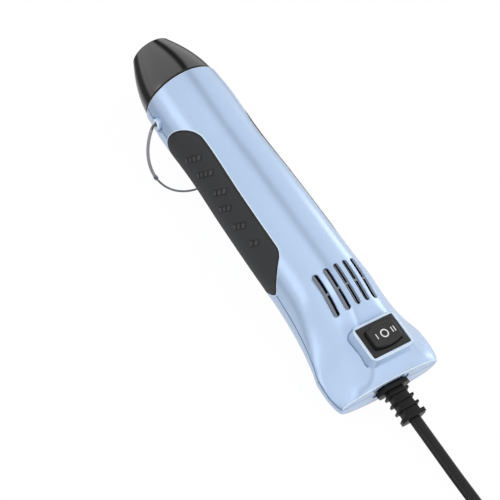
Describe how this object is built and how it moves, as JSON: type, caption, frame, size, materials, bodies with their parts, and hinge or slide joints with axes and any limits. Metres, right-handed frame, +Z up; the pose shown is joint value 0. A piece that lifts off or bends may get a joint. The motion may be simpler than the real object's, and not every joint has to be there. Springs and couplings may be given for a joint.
{
  "type": "embossing heat tool",
  "caption": "Hand-held embossing heat tool with hot-air nose, air slots, three-position rocker, rubber grips, swinging wire stand and flat power cord.",
  "frame": {"origin": "centre of the hot-air outlet's mouth, with the tool standing on its wire stand and its rear heel", "axes": "+X forward towards the outlet, +Y to the tool's left, +Z up; the tool's own axis points 8.3 degrees above +X"},
  "size_m": [0.4425, 0.0967, 0.0715],
  "materials": {
    "shell_blue": "satin pearl",
    "grip_rubber": "matte",
    "nose_black": "gloss",
    "black_plastic": "fine grain",
    "cord_black": "satin",
    "wire_steel": "bright",
    "inner_steel": "brushed",
    "mica": "matte",
    "fan_white": "matte",
    "board_green": "satin",
    "contact_brass": "bright",
    "lead_red": "satin"
  },
  "bodies": {
    "housing": {"upper_housing": "shell_blue", "lower_housing": "shell_blue", "left_grip": "grip_rubber", "right_grip": "grip_rubber", "nose_cone": "nose_black", "outlet_collar": "inner_steel", "heat_tube": "inner_steel", "mica_sleeve": "mica", "mica_cross": "mica", "heating_coil": "inner_steel", "thermal_fuse": "inner_steel", "front_insulator": "mica", "air_funnel": "fan_white", "motor": "inner_steel", "motor_mount": "black_plastic", "rectifier_board": "board_green", "switch_housing": "black_plastic", "switch_terminals": "contact_brass", "strain_relief": "black_plastic", "cord_tail": "cord_black", "cord_clamp": "inner_steel", "clamp_screws": "inner_steel", "housing_screws": "inner_steel", "inner_leads": "lead_red", "power_cord": "cord_black", "cord_coil": "cord_black", "plug_lead": "cord_black", "cord_tie": "black_plastic", "plug_body": "black_plastic", "plug_blades": "contact_brass"},
    "stand": {"stand_wire": "wire_steel"},
    "switch_rocker": {"rocker": "black_plastic"},
    "fan": {"motor_shaft": "inner_steel", "fan_wheel": "fan_white"}
  },
  "joints": [
    {"name": "stand_swing", "type": "hinge", "parent": "housing", "child": "stand", "pos_m": [-0.04453, 0, -0.00652], "axis": [0, -1, 0], "range_deg": [0, 262]},
    {"name": "rocker_tilt", "type": "hinge", "parent": "housing", "child": "switch_rocker", "pos_m": [-0.21951, 0, -0.01243], "axis": [0.9895, 0, 0.1449], "range_deg": [-8, 8]},
    {"name": "fan_spin", "type": "hinge", "parent": "housing", "child": "fan", "pos_m": [-0.15732, 0, -0.02303], "axis": [0.9895, 0, 0.1449], "continuous": true}
  ]
}
